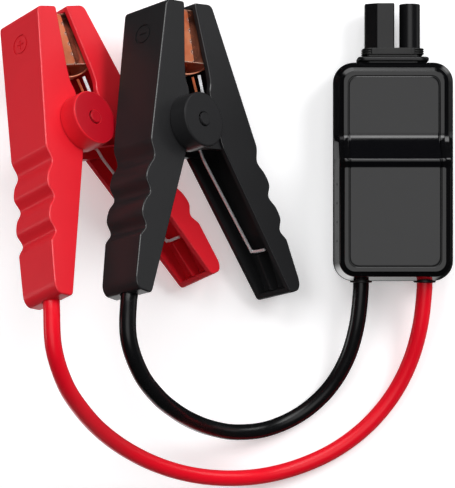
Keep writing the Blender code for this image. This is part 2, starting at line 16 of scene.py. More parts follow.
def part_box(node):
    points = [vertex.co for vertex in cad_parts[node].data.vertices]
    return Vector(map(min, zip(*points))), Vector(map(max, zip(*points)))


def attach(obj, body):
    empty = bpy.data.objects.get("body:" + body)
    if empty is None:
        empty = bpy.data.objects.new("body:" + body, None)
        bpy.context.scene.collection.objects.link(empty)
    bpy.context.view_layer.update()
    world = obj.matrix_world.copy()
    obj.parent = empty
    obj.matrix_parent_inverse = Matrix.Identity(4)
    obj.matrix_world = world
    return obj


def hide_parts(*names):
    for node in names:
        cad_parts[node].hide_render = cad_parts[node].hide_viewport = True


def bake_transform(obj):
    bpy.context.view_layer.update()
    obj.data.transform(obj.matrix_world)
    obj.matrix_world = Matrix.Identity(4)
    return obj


MM = 0.001

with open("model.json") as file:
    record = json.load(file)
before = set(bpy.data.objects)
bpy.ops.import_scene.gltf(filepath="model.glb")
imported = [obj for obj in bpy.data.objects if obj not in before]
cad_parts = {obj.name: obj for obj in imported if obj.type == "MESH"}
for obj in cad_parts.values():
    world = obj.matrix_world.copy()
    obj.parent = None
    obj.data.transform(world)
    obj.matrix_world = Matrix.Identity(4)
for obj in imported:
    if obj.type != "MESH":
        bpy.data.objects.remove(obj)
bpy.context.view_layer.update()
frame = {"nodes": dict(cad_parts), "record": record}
JOINTS = {joint["name"]: joint for joint in frame["record"]["behaviour"]["joints"]}

# Control box, as distances from its middle.
BOX_WIDTH, BOX_LENGTH, BOX_CORNER = 44.4, 81.0, 7.5
SPLIT_Z = 12.0
LOW_TOP, HIGH_TOP = 19.6, 26.0
PANEL_INSET = 5.5
PANEL_CORNER = 3.2
PLUG_Z = 10.0
SQUARE_X, ROUND_X = -4.95, 6.4  # the plug's two barrels
CABLE_OFFSET = 11.8
GLAND_R, GLAND_HOLE_R = 4.1, 4.4
PLUG_OPENING = (9.8, 5.4)
SCREW_PLACES = [(x, y) for x in (-16.0, 16.0) for y in (-28.0, 33.0)]

# Clamp, as distances from its middle plane across the opening and along the jaws.
MIDDLE = 7.7  # from the pin to the middle plane
WIDTH_AT_PIN, WIDTH_TAPER = 19.6, 0.0424
SIDE_WALL = 1.9
RIM = 0.6  # rounding of the outer edges
BOSS_R = 10.0
BOSS_TOPS = {"front": 17.2, "back": 14.0}  # from the clamp's middle
INNER_EAR_R, INNER_EAR = 9.4, 6.0  # the moving half's ears: radius and inner face
EAR_RECESS, EAR_GAP = 7.6, 0.4  # where that half makes room for the other one's ears
EDGE_SLANT, FLAT = (0.2, 0.97), 0.95  # share of a face's normal along the pin, on edges and on flat ends
PIN_R = 2.35
JAW_START, JAW_END, JAW_SIDE, JAW_SHEET = 23.6, 43.6, 8.0, 1.2
TOOTH_COUNT, TOOTH_DEPTH = 5, 3.0
TOOTH_LINE, TOOTH_GAP = 2.1, 0.4  # the teeth mesh along a line on the moving half's side
COIL_R, WIRE_R, COIL_TURNS, COIL_PITCH = 4.9, 0.58, 4.5, 2.15
LEG_Z = -3.0  # of the spring's leg in the moving handle
GRIP_TIP, GRIP_BEND = (12.0, 45.8), (28.2, -6.2)  # ends of a half's flat outer face
HOLLOW_TIP, HOLLOW_BEND = (9.6, 43.9), (25.8, -6.8)  # ends of the hollow's wall behind the jaw plate
JAW_CLEARANCE = 0.6  # between that wall and the jaw plate
CLAMP_TURNS = {"black": (7.5, 8.3, 49.0), "red": (17.9, 8.9, 50.6)}  # about Z, dip and roll, in degrees
CABLE_R = 2.95
CABLE_HOLE = Vector((MIDDLE - 38.9, -59.9, 0))
CABLE_IN = Vector((0.36, 0.933, 0)).normalized()

# ---------------------------------------------------------------- materials

NOISE_LOW, NOISE_HIGH = 0.35, 0.65  # the middle part of a noise's values
STAIN_LOW, STAIN_HIGH = 0.3, 0.6
PLASTIC_CLOUDS, PLASTIC_PATCHES, METAL_CLOUDS = 55.0, 140.0, 160.0  # scales of slow changes, for metres
METAL_GLOSS = (-0.06, 0.1)  # spread of a metal's roughness
METAL_DEPTH = 0.000012  # of a metal's grain
EVEN = (1, 1, 1)
PLASTICS = {  # name, colour, roughness, specular level, grain, its depth, spread of colour and of roughness
    "black": ("black_grip_plastic", (0.018, 0.018, 0.019), 0.33, 0.20, 5200, 4e-6, 0.03, 0.008),
    "red": ("red_grip_plastic", (0.71, 0.015, 0.026), 0.33, 0.30, 5200, 4e-6, 0.02, 0.01),
    # painted highlight: shinier, slightly lighter copies of the grip plastics for the rounded edges, so that
    # they show bright edge lines
    "black_rim": ("black_grip_edge_highlight", (0.019, 0.019, 0.020), 0.24, 0.95, 5200, 3e-6, 0.03, 0.02),
    "red_rim": ("red_grip_edge_highlight", (0.72, 0.02, 0.032), 0.26, 0.9, 5200, 3e-6, 0.02, 0.02),
    # darker copies of the grip plastics, given to the bosses' flat tops and to the pin covers
    "black_boss": ("black_boss_plastic", (0.0155, 0.0155, 0.0165), 0.32, 0.13, 5200, 4e-6, 0.03, 0.01),
    "red_boss": ("red_boss_plastic", (0.42, 0.004, 0.013), 0.30, 0.28, 5200, 4e-6, 0.02, 0.01),
    "gloss": ("box_gloss_plastic", (0.0025, 0.0025, 0.0029), 0.11, 0.62, 2600, 1e-6, 0.04, 0.02),
    "panel": ("box_panel_plastic", (0.0025, 0.0025, 0.0032), 0.15, 0.64, 4200, 2e-6, 0.04, 0.02),
    "plug": ("plug_nylon", (0.005, 0.005, 0.0056), 0.25, 0.50, 3800, 6e-6, 0.04, 0.02),
    "rubber": ("seal_rubber", (0.009, 0.009, 0.009), 0.42, 0.60, 4200, 2e-5, 0.04, 0.02),
    "matte": ("component_epoxy", (0.018, 0.018, 0.019), 0.62, 0.5, 3000, 3e-5, 0.04, 0.02),
    "board": ("board_solder_mask", (0.012, 0.11, 0.04), 0.42, 0.5, 2200, 2e-5, 0.04, 0.02),
    "red_cable": ("red_silicone_sheath", (0.80, 0.005, 0.018), 0.30, 0.42, 2600, 6e-6, 0.03, 0.02),
    "black_cable": ("black_silicone_sheath", (0.0045, 0.0045, 0.005), 0.26, 0.45, 2600, 6e-6, 0.04, 0.02),
}
METALS = {  # name, colour, roughness, grain and how it is packed, stain, spread of colour, metallic share
    "copper": ("jaw_copper", (0.97, 0.31, 0.15), 0.36, 500, EVEN, (0.85, 0.20, 0.08), 0.12, 0.8),
    # painted highlight: a pale, bright copper for the jaw plates' rounded edges and tooth edges, which
    # stands in for their glints
    "edge_glint": ("copper_edge_highlight", (1.0, 0.66, 0.52), 0.30, 900, EVEN, (0.95, 0.50, 0.36), 0.05, 0.5),
    # painted shade: a dark copper for the moving jaw plate's faces along the pin, which lie recessed inside
    # the grip
    "shaded_copper": ("copper_painted_shade", (0.42, 0.14, 0.08), 0.38, 420, EVEN, (0.12, 0.04, 0.03), 0.3, 0.75),
    "braid": ("copper_braid", (1.0, 0.40, 0.24), 0.48, 1800, EVEN, (0.90, 0.28, 0.14), 0.1, 0.25),
    "brass": ("contact_brass", (0.90, 0.66, 0.27), 0.24, 1400, (1, 6, 1), (0.72, 0.47, 0.17), 0.12, 1.0),
    "steel": ("spring_steel", (0.80, 0.80, 0.82), 0.24, 2200, EVEN, (0.60, 0.60, 0.62), 0.12, 1.0),
    "wire": ("bright_spring_wire", (0.93, 0.93, 0.94), 0.32, 2200, EVEN, (0.8, 0.8, 0.81), 0.02, 0.35),
    "can": ("capacitor_can", (0.72, 0.73, 0.75), 0.33, 1800, (1, 1, 5), (0.60, 0.61, 0.63), 0.12, 1.0),
}


def looks_like(name, colour, roughness, metallic=0.0, **inputs):
    """A Principled material with constants on its own sockets; returns it with its tree and shader."""
    made = bpy.data.materials.new(name)
    made.use_nodes = True
    tree = made.node_tree
    shader = tree.nodes["Principled BSDF"]
    shader.inputs["Base Color"].default_value = (*colour, 1)
    shader.inputs["Roughness"].default_value = roughness
    shader.inputs["Metallic"].default_value = metallic
    for key, value in inputs.items():
        shader.inputs[key.replace("_", " ")].default_value = value
    return made, tree, shader


def add(tree, kind, **inputs):
    """A new node with the given values on its sockets."""
    node = tree.nodes.new(kind)
    for key, value in inputs.items():
        node.inputs[key.replace("_", " ")].default_value = value
    return node


def noise(tree, scale, detail=2.0, packing=EVEN):
    """The value of a noise in the object's own metres, whose grain is packed closer along X, Y or Z."""
    place = tree.nodes.new("ShaderNodeTexCoord")
    mapping = add(tree, "ShaderNodeMapping", Scale=packing)
    tree.links.new(place.outputs["Object"], mapping.inputs["Vector"])
    made = add(tree, "ShaderNodeTexNoise", Scale=scale, Detail=detail)
    tree.links.new(mapping.outputs["Vector"], made.inputs["Vector"])
    return made.outputs[0]


def span(tree, value, low, high):
    """Maps the middle part of a noise to low..high."""
    made = add(tree, "ShaderNodeMapRange", From_Min=NOISE_LOW, From_Max=NOISE_HIGH, To_Min=low, To_Max=high)
    tree.links.new(value, made.inputs["Value"])
    return made.outputs["Result"]


def tint(tree, value, dark, light, start=NOISE_LOW, end=NOISE_HIGH):
    """A colour ramp from dark to light over the middle part of a noise."""
    ramp = tree.nodes.new("ShaderNodeValToRGB")
    ramp.color_ramp.elements[0].position = start
    ramp.color_ramp.elements[1].position = end
    ramp.color_ramp.elements[0].color = (*dark, 1)
    ramp.color_ramp.elements[1].color = (*light, 1)
    tree.links.new(value, ramp.inputs["Fac"])
    return ramp.outputs["Color"]


def rough_surface(tree, shader, height, depth):
    """Bump from a 0..1 height, depth in metres."""
    bump = add(tree, "ShaderNodeBump", Strength=1.0, Distance=depth)
    tree.links.new(height, bump.inputs["Height"])
    tree.links.new(bump.outputs["Normal"], shader.inputs["Normal"])


def scaled(colour, factor):
    """The colour times a factor."""
    return tuple(min(1.0, c * factor) for c in colour)


def plastic(name, colour, roughness, shine, grain, depth, variation, uneven):
    """Moulded plastic or rubber: faint colour variation, slightly uneven gloss and a fine grain."""
    made, tree, shader = looks_like(name, colour, roughness, Specular_IOR_Level=shine)
    cloudy = noise(tree, PLASTIC_CLOUDS, 3.0)
    colours = tint(tree, cloudy, scaled(colour, 1 - variation), scaled(colour, 1 + variation))
    tree.links.new(colours, shader.inputs["Base Color"])
    patches = noise(tree, PLASTIC_PATCHES, 4.0)
    uneven_gloss = span(tree, patches, roughness - uneven, roughness + uneven)
    tree.links.new(uneven_gloss, shader.inputs["Roughness"])
    rough_surface(tree, shader, noise(tree, grain), depth)
    return made


def metal(name, colour, roughness, grain, packing, stain, variation, purity):
    """Metal with a grain, uneven gloss and slight staining towards another colour."""
    made, tree, shader = looks_like(name, colour, roughness, purity)
    cloudy = noise(tree, METAL_CLOUDS, 4.0)
    colours = tint(tree, cloudy, stain, scaled(colour, 1 + variation), STAIN_LOW, STAIN_HIGH)
    tree.links.new(colours, shader.inputs["Base Color"])
    fine = noise(tree, grain, 3.0, packing)
    smoother, rougher = METAL_GLOSS
    tree.links.new(span(tree, fine, roughness + smoother, roughness + rougher), shader.inputs["Roughness"])
    rough_surface(tree, shader, fine, METAL_DEPTH)
    return made


def make_looks():
    """All materials by key."""
    looks = {key: plastic(*values) for key, values in PLASTICS.items()}
    looks.update({key: metal(*values) for key, values in METALS.items()})
    return looks


def second_look(obj, look, wanted):
    """Adds the look to the object and gives it to the faces for which wanted(face) is true."""
    obj.data.materials.append(look)
    number = len(obj.data.materials) - 1
    for face in obj.data.polygons:
        if wanted(face):
            face.material_index = number


# ---------------------------------------------------------------- shape tools


def placed(name, data):
    """A new object in the scene."""
    obj = bpy.data.objects.new(name, data)
    bpy.context.scene.collection.objects.link(obj)
    return obj


def put(name, bm, look, place, sharp=32):
    """The bmesh, in millimetres of the frame place, as a named object in the row frame."""
    bmesh.ops.transform(bm, matrix=place @ Matrix.Scale(MM, 4), verts=bm.verts)
    bmesh.ops.recalc_face_normals(bm, faces=bm.faces)
    mesh = bpy.data.meshes.new(name)
    bm.to_mesh(mesh)
    bm.free()
    obj = placed(name, mesh)
    if look:
        mesh.materials.append(look)
        smooth(obj, sharp)
    return obj


def smooth(obj, sharp):
    """Smooth shading that keeps edges over the angle sharp and flat faces flat."""
    obj.data.shade_smooth()
    obj.data.set_sharp_from_angle(angle=radians(sharp))
    step = obj.modifiers.new("weighted_normals", "WEIGHTED_NORMAL")
    step.keep_sharp = True
    step.weight = 80


def settle(obj, steps, sharp=32):
    """Applies Booleans with the given (operation, bmesh, place)."""
    look = obj.data.materials[0] if obj.data.materials else None
    obj.modifiers.clear()
    helpers = []
    for number, (operation, bm, place) in enumerate(steps):
        helper = put(f"{obj.name}_helper_{number}", bm, None, place)
        step = obj.modifiers.new(f"step_{number}", "BOOLEAN")
        step.operation = operation
        step.solver = "EXACT"
        step.object = helper
        helpers.append(helper)
    graph = bpy.context.evaluated_depsgraph_get()
    made = bpy.data.meshes.new_from_object(obj.evaluated_get(graph))
    old = obj.data
    obj.modifiers.clear()
    obj.data = made
    made.name = obj.name
    bpy.data.meshes.remove(old)
    for helper in helpers:
        bpy.data.objects.remove(helper, do_unlink=True)
    made.materials.clear()
    if look:
        made.materials.append(look)
    for face in made.polygons:
        face.material_index = 0
    smooth(obj, sharp)
    return obj


def rounded(corners, steps=5):
    """A closed outline from (x, y, size) corners, each cut back by its size and joined by a curve."""
    points = []
    for i, (x, y, size) in enumerate(corners):
        here = Vector((x, y))
        before = Vector(corners[i - 1][:2]) - here
        after = Vector(corners[(i + 1) % len(corners)][:2]) - here
        if size == 0:
            points.append(here)
            continue
        start = here + before.normalized() * min(size, before.length * 0.49)
        end = here + after.normalized() * min(size, after.length * 0.49)
        for k in range(steps + 1):
            t = k / steps
            points.append(start * (1 - t) ** 2 + here * 2 * t * (1 - t) + end * t**2)
    return [(p.x, p.y) for p in points]


def flowing(knots, steps):
    """Points on a smooth curve through the knots, the first and last of which only give its direction."""
    points = []
    for a, b, c, d in zip(knots, knots[1:], knots[2:], knots[3:]):
        for k in range(steps):
            t = k / steps
            bend = (2 * a - 5 * b + 4 * c - d) * t**2
            twist = (3 * b - a - 3 * c + d) * t**3
            points.append(0.5 * (2 * b + (c - a) * t + bend + twist))
    return [*points, knots[-2]]


def clockwise(outline):
    """True if the outline runs clockwise."""
    area = 0.0
    for (x1, y1), (x2, y2) in zip(outline, [*outline[1:], outline[0]]):
        area += x1 * y2 - x2 * y1
    return area < 0


def shrunk(outline, inset):
    """The outline moved inwards by inset."""
    if inset == 0:
        return list(outline)
    sign = -1 if clockwise(outline) else 1
    moved = []
    count = len(outline)
    for i in range(count):
        here = Vector(outline[i])
        a = (here - Vector(outline[i - 1])).normalized()
        b = (Vector(outline[(i + 1) % count]) - here).normalized()
        normal = Vector((-(a.y + b.y), a.x + b.x))
        if normal.length < 1e-6:
            normal = Vector((-a.y, a.x))
        normal.normalize()
        share = max(0.5, normal.dot(Vector((-a.y, a.x))))
        here += normal * (sign * inset / share)
        moved.append((here.x, here.y))
    return moved


def skin(bm, loops):
    """Makes vertices at the loops of points, which have the same count, and the faces between them."""
    rings = [[bm.verts.new(point) for point in loop] for loop in loops]
    for a, b in zip(rings, rings[1:]):
        for i in range(len(a)):
            j = (i + 1) % len(a)
            bm.faces.new((a[i], a[j], b[j], b[i]))
    return rings


def loft(loops):
    """A bmesh through loops of points, closed by a face at each end."""
    bm = bmesh.new()
    rings = skin(bm, loops)
    bm.faces.new(rings[0])
    bm.faces.new(rings[-1])
    return bm


def prism(outline, low, high, rim=0.0, steps=3):
    """The outline extruded along Z between heights, or functions of (x, y), with rounded rims."""

    def level(value, x, y):
        return value(x, y) if callable(value) else value

    loops = []
    if not rim:
        for value in (low, high):
            loops.append([(x, y, level(value, x, y)) for x, y in outline])
        return loft(loops)
    turns = [pi / 2 * k / steps for k in range(steps + 1)]
    for value, sign, order in ((low, 1, turns), (high, -1, turns[::-1])):
        for turn in order:
            inside = shrunk(outline, rim * (1 - sin(turn)))
            rise = sign * rim * (1 - cos(turn))
            loops.append([(x, y, level(value, x, y) + rise) for x, y in inside])
    return loft(loops)


def turned(profile, steps=48):
    """A bmesh turned about Z from (radius, height) points; a radius of 0 closes an end."""
    bm = bmesh.new()
    rings = []
    for radius, height in profile:
        if radius == 0:
            rings.append([bm.verts.new((0, 0, height))] * steps)
        else:
            angles = [2 * pi * i / steps for i in range(steps)]
            rings.append([bm.verts.new((radius * cos(a), radius * sin(a), height)) for a in angles])
    if profile[0][0] and profile[-1][0]:
        rings.append(rings[0])
    for a, b in zip(rings, rings[1:]):
        for i in range(steps):
            j = (i + 1) % steps
            corners = list(dict.fromkeys((a[i], a[j], b[j], b[i])))
            if len(corners) > 2:
                bm.faces.new(corners)
    return bm


def rod(radius, low, high, steps=48):
    """A bmesh cylinder about Z."""
    return turned(((0, low), (radius, low), (radius, high), (0, high)), steps)


def block(low, high):
    """A bmesh box between two corners."""
    corners = ((low[0], low[1]), (high[0], low[1]), (high[0], high[1]), (low[0], high[1]))
    return prism(corners, low[2], high[2])


def at(x, y, z):
    """The matrix that moves by millimetres."""
    return Matrix.Translation((x * MM, y * MM, z * MM))


def along(start, direction):
    """The matrix that carries the Z axis to a line from start along direction."""
    turn = Vector(direction).to_track_quat("Z", "Y").to_matrix().to_4x4()
    return at(*start) @ turn


def wire(path, radius, sides=12):
    """A bmesh tube along the points, with rounded ends and its rings carried along without twist."""
    heading = (path[1] - path[0]).normalized()
    across = heading.orthogonal().normalized()
    loops = []
    for i, point in enumerate(path):
        after = path[min(i + 1, len(path) - 1)] - path[max(i - 1, 0)]
        after.normalize()
        across = (across - after * across.dot(after)).normalized()
        other = after.cross(across)
        ring = []
        for k in range(sides):
            angle = 2 * pi * k / sides
            ring.append(point + (across * cos(angle) + other * sin(angle)) * radius)
        loops.append(ring)
    for end, inner, order in ((0, 1, 0), (-1, -2, len(loops) + 1)):
        out = (path[end] - path[inner]).normalized() * radius * 0.5
        cap = [path[end] + out + (p - path[end]) * 0.6 for p in loops[end]]
        loops.insert(order, cap)
    return loft(loops)


def clamp_place(colour):
    """The clamp's frame, on its hinge."""
    joint = JOINTS[colour + "_clamp_hinge"]
    yaw, dip, roll = CLAMP_TURNS[colour]
    turn = (
        Matrix.Rotation(radians(yaw), 4, "Z")
        @ Matrix.Rotation(radians(-dip), 4, "X")
        @ Matrix.Rotation(radians(roll), 4, "Y")
    )
    return Matrix.Translation(Vector(joint["pos_m"])) @ turn


def box_place():
    """The box's frame, under the middle of its lower half."""
    low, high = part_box("back_cover")
    return Matrix.Translation(((low[0] + high[0]) / 2, (low[1] + high[1]) / 2, low[2]))


def on(body, obj, slot, *nodes):
    """obj rides on the body and stands for the nodes, which are hidden; the slot is not used."""
    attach(obj, body)
    if nodes:
        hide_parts(*nodes)
    return obj


# ---------------------------------------------------------------- clamps


def half_width(y):
    """Half the clamp's width along the pin, at a place along the jaws."""
    return (WIDTH_AT_PIN + WIDTH_TAPER * y) / 2


def on_side(points, side):
    """Distances from the middle plane as points of the half on that side."""
    return [(MIDDLE + side * p[0], *p[1:]) for p in points]


def grip_outline(side):
    """One half seen along the pin: tip, finger ridges, handle end and the edge towards the other half."""
    ridges = (
        (25.5, 2.0), GRIP_BEND, (27.5, -12.2), (31.0, -16.4),
        (32.9, -20.7), (31.7, -25.2), (35.1, -28.9), (37.0, -33.3),
        (35.9, -37.7), (39.2, -41.2), (40.9, -46.6),
    )
    waves = [(p.x, p.y, 0) for p in flowing([Vector(p) for p in ridges], 6)]
    end = (36.7, -61.6) if side < 0 else (37.8, -61.1)
    corners = [(*GRIP_TIP, 2.2), *waves, (43.9, -57.2, 2.2), (42.6, -60.0, 1.2), (*end, 1.6)]
    corners += [(9.0, -7.0, 2.0), (5.4, 12.5, 1.5), (6.6, 16.0, 1.5), (6.3, 21.0, 2.0), (2.7, 45.6, 1.2)]
    return on_side(rounded(corners, 5), side)


def channel_outline(side):
    """The hollow of one half, open towards the other one."""
    corners = (
        (*HOLLOW_TIP, 2.0), (*HOLLOW_BEND, 2.0), (24.9, -12.8, 2.0), (29.3, -25.6, 2.0),
        (33.6, -38.2, 2.0), (36.9, -42.2, 2.0), (41.2, -57.6, 1.2), (27.7, -61.9, 0),
        (-3.5, -7.0, 0), (-6.9, 14.0, 0), (-4.5, 44.0, 0),
    )
    return on_side(rounded(corners, 4), side)


def outer_face_place():
    """The flat outer face of the fixed half: Z out of it, Y towards the jaws, origin at its lower end."""
    tip = Vector((MIDDLE - GRIP_TIP[0], GRIP_TIP[1], 0))
    low = Vector((MIDDLE - GRIP_BEND[0], GRIP_BEND[1], 0))
    up = (tip - low).normalized()
    across = Vector((0, 0, 1))
    out = up.cross(across)
    if out.x > 0:
        across = -across
        out = -out
    turn = Matrix((across, up, out)).transposed().to_4x4()
    return at(*low) @ turn


def polarity_mark(colour):
    """Cutters for the ring and the plus or minus sign engraved near the tip of the fixed half."""
    place = outer_face_place() @ at(0, 43.0, 0)
    depth, line, radius, proud = 0.35, 0.34, 3.5, 1.0
    inner, outer = radius - line, radius + line
    ring = turned(((inner, -depth), (outer, -depth), (outer, proud), (inner, proud)), 48)
    bar = ((-1.7, -0.3), (1.7, -0.3), (1.7, 0.3), (-1.7, 0.3))
    cutters = [(ring, place), (prism(bar, -depth, proud), place)]
    if colour == "red":
        upright = prism([(y, x) for x, y in bar][::-1], -depth - 0.05, proud + 0.1)
        cutters.append((upright, place))
    return cutters


def ears(side, place):
    """Booleans for the ears round the pin, which are outside on the fixed half, and for the pin's hole."""
    steps = []
    wall_top = half_width(0)
    wall_bottom = wall_top - SIDE_WALL
    for face in (-1, 1):
        if side < 0:
            low, high = sorted((face * wall_bottom, face * wall_top))
            steps.append(("UNION", rod(BOSS_R, low, high, 64), place))
            continue
        low, high = sorted((face * INNER_EAR, face * (wall_bottom + 0.6)))
        corners = ((3.2, -8.2), (MIDDLE + 14.0, -8.2), (MIDDLE + 12.0, 8.2), (3.2, 8.2))
        steps.append(("UNION", prism(corners, low + 0.1, high - 0.1), place))
        steps.append(("UNION", rod(INNER_EAR_R, low, high, 64), place))
        low, high = sorted((face * EAR_RECESS, face * (wall_top + 4)))
        steps.append(("DIFFERENCE", rod(BOSS_R + EAR_GAP, low, high, 64), place))
    steps.append(("DIFFERENCE", rod(PIN_R + 0.3, -wall_top - 2, wall_top + 2, 40), place))
    return steps


def handle_details(colour, side, place):
    """Booleans for the cable's way in and the polarity mark, or for the rib under the spring's leg."""
    if side > 0:
        corners = ((38.5, -43.5), (31.5, -45.4), (36.6, -58.5), (40.6, -59.2))
        return [("UNION", prism(on_side(corners, side), -0.3, 0.3), place)]
    inward = place @ along(CABLE_HOLE, CABLE_IN)
    steps = [
        ("DIFFERENCE", rod(CABLE_R + 0.35, -8, 14, 40), inward),
        ("DIFFERENCE", rod(4.1, 13.4, 30, 40), inward),
    ]
    for cutter, local in polarity_mark(colour):
        steps.append(("DIFFERENCE", cutter, place @ local))
    return steps


def grip(colour, side, place, looks):
    """One plastic half of a clamp: a hollow moulding with finger ridges, open towards the other half."""
    half = "fixed" if side < 0 else "moving"
    solid = prism(grip_outline(side), lambda x, y: -half_width(y), lambda x, y: half_width(y), RIM, 4)
    body = put(f"{colour}_{half}_grip", solid, looks[colour], place)
    hollow = prism(
        channel_outline(side),
        lambda x, y: SIDE_WALL - half_width(y),
        lambda x, y: half_width(y) - SIDE_WALL,
    )
    steps = [("DIFFERENCE", hollow, place), *ears(side, place), *handle_details(colour, side, place)]
    settle(body, steps, 34)
    clear_hole(body, place)
    # painted highlight: the rounded edges take the shinier, slightly lighter copy of the plastic
    second_look(body, looks[f"{colour}_rim"], slanted(place))
    body_name = "root" if side < 0 else f"{colour}_moving_half"
    return on(body_name, body, colour + "_plastic", f"{colour}_{half}_handle")


def slanted(place):
    """A test for the faces that slant to the pin, which are a grip's or a jaw's rounded edges."""
    axis = place.to_3x3() @ Vector((0, 0, 1))
    low, high = EDGE_SLANT
    return lambda face: low < abs(face.normal.dot(axis)) < high


def clear_hole(obj, place):
    """Takes away what the Booleans leave inside the pin's hole."""
    mesh = obj.data
    bm = bmesh.new()
    bm.from_mesh(mesh)
    back = place.inverted()
    inside = [f for f in bm.faces if (back @ f.calc_center_median()).xy.length < PIN_R * MM]
    bmesh.ops.delete(bm, geom=inside, context="FACES")
    bm.to_mesh(mesh)
    bm.free()


def outward(place, end):
    """The clamp's place with Z out of the front or back end of the pin."""
    return place @ Matrix.Rotation(pi, 4, "X") if end == "back" else place


def boss(colour, end, place, looks):
    """The round boss over the pivot, hollow underneath."""
    top = BOSS_TOPS[end]
    base = half_width(0) + 0.3
    edge, wall, hub_r = 0.7, 1.8, 5.0
    outside = [(BOSS_R + 0.15, base)]
    for k in range(5):
        turn = pi / 2 * k / 4
        outside.append((BOSS_R - edge * (1 - cos(turn)), top - edge * (1 - sin(turn))))
    profile = [(PIN_R + 0.25, base), (hub_r, base), (hub_r, top - wall), (BOSS_R - wall, top - wall)]
    profile += [(BOSS_R - wall + 0.1, base), *outside, (PIN_R + 0.55, top), (PIN_R + 0.25, top - 0.3)]
    spot = outward(place, end)
    made = put(f"{colour}_boss_{end}", turned(profile, 96), looks[colour], spot, 40)
    axis = spot.to_3x3() @ Vector((0, 0, 1))
    # the boss's flat top takes the darker copy of the plastic
    second_look(made, looks[f"{colour}_boss"], lambda flat: flat.normal.dot(axis) > FLAT)
    return on("root", made, colour + "_plastic", f"{colour}_pivot_cap_{end}")


def pin(colour, place, looks):
    """The pivot pin, with a cover on each end that shows in its boss."""
    low, high = -BOSS_TOPS["back"] - 0.1, BOSS_TOPS["front"] + 0.1
    shaft = put(f"{colour}_pin_shaft", rod(PIN_R, low, high, 40), looks["steel"], place)
    on("root", shaft, "steel", f"{colour}_pivot_pin")
    for end, top in BOSS_TOPS.items():
        cover = ((0, 0.12), (PIN_R, 0.12), (PIN_R, 0.34), (PIN_R - 0.08, 0.48), (PIN_R - 0.26, 0.55))
        cover += ((PIN_R - 0.7, 0.5), (0, 0.5))
        spot = outward(place, end) @ at(0, 0, top)
        made = put(f"{colour}_pin_cover_{end}", turned(cover, 48), looks[f"{colour}_boss"], spot, 50)
        on("root", made, colour + "_plastic")


def jaw_back(y, depth):
    """How far the jaw plate's back is from the middle plane, at depth under its outer face."""
    (tip, tip_y), (bend, bend_y) = HOLLOW_TIP, HOLLOW_BEND
    share = (tip_y - y) / (tip_y - bend_y)
    return tip + (bend - tip) * share - JAW_CLEARANCE - depth


def jaw(colour, side, place, looks):
    """A copper jaw: a U-shaped sheet with rounded teeth along both free edges."""
    half = "fixed" if side < 0 else "moving"
    per_tooth = 14
    teeth = []
    for i in range(TOOTH_COUNT * per_tooth + 1):
        share = i / (TOOTH_COUNT * per_tooth)
        y = JAW_START + (JAW_END - JAW_START) * share
        wave = TOOTH_LINE - TOOTH_DEPTH / 2 * cos(2 * pi * i / per_tooth)
        teeth.append((TOOTH_GAP / 2 + side * wave, y, 0))
    top = (jaw_back(JAW_END, 0), JAW_END, 1.6)
    bottom = (jaw_back(JAW_START, 0), JAW_START, 1.6)
    outline = on_side(rounded((*teeth, top, bottom), 4), side)
    name = f"{colour}_{half}_jaw_plate"
    plate = put(name, prism(outline, -JAW_SIDE, JAW_SIDE, 0.3, 2), looks["copper"], place)
    width = JAW_SIDE - JAW_SHEET
    low, high = JAW_START - 2, JAW_END - JAW_SHEET
    past_teeth = -6
    inside = (
        (past_teeth, low, 0),
        (jaw_back(low, JAW_SHEET), low, 0),
        (jaw_back(high, JAW_SHEET), high, 1.0),
        (past_teeth, high, 0),
    )
    steps = [("DIFFERENCE", prism(on_side(rounded(inside), side), -width, width), place)]
    if side < 0:
        low = JAW_START + 2
        tail = (
            (jaw_back(low, 0) - 0.1, low, 0), (25.2, -6.8, 1.0), (24.3, -12.8, 1.0),
            (27.6, -22.6, 0), (26.4, -22.9, 0), (23.1, -12.9, 1.0),
            (24.0, -6.6, 1.0), (jaw_back(low, JAW_SHEET) + 0.1, low, 0),
        )
        steps.append(("UNION", prism(on_side(rounded(tail, 4), side), -3.5, 3.5), place))
        rivet = along((MIDDLE - 25.3, -17.0, 0), (-0.957, 0.29, 0))
        steps.append(("DIFFERENCE", rod(1.6, -3, 3, 24), place @ rivet))
    settle(plate, steps, 36)
    axis = place.to_3x3() @ Vector((0, 0, 1))
    middle = place.to_translation().dot(axis)
    reach = (JAW_SIDE - 0.15) * MM

    def outer(face):
        return side > 0 and abs(face.center.dot(axis) - middle) > reach

    # painted shade: the moving plate's faces along the pin take the dark copper
    second_look(plate, looks["shaded_copper"], outer)
    # painted highlight: the plates' rounded edges take the pale, bright copper
    second_look(plate, looks["edge_glint"], slanted(place))
    body = "root" if side < 0 else f"{colour}_moving_half"
    return on(body, plate, "copper", f"{colour}_{half}_jaw")


def strap(colour, place, look):
    """A flexible copper strap that joins the two jaw plates across the throat of the clamp."""
    knots = ((-12.2, 31.0), (-12.4, 28.2), (-12.4, 25.2), (-10.8, 22.2), (-6.4, 20.3), (0, 19.9))
    knots += ((6.4, 21.2), (10.4, 23.4), (11.9, 25.8), (11.9, 28.2), (11.9, 31.0))
    centre = flowing([Vector(p) for p in knots], 6)
    thick, half = 0.35, 5.0
    outline = [(p.x, p.y) for p in centre]
    line = []
    for i, p in enumerate(centre):
        step = (centre[min(i + 1, len(centre) - 1)] - centre[max(i - 1, 0)]).normalized()
        line.append((p.x - step.y * thick, p.y + step.x * thick))
    band = on_side([*outline, *line[::-1]], 1)
    made = put(f"{colour}_strap_band", prism(band, -half, half), look, place, 45)
    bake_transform(made)
    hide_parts(f"{colour}_jaw_strap")
    return made


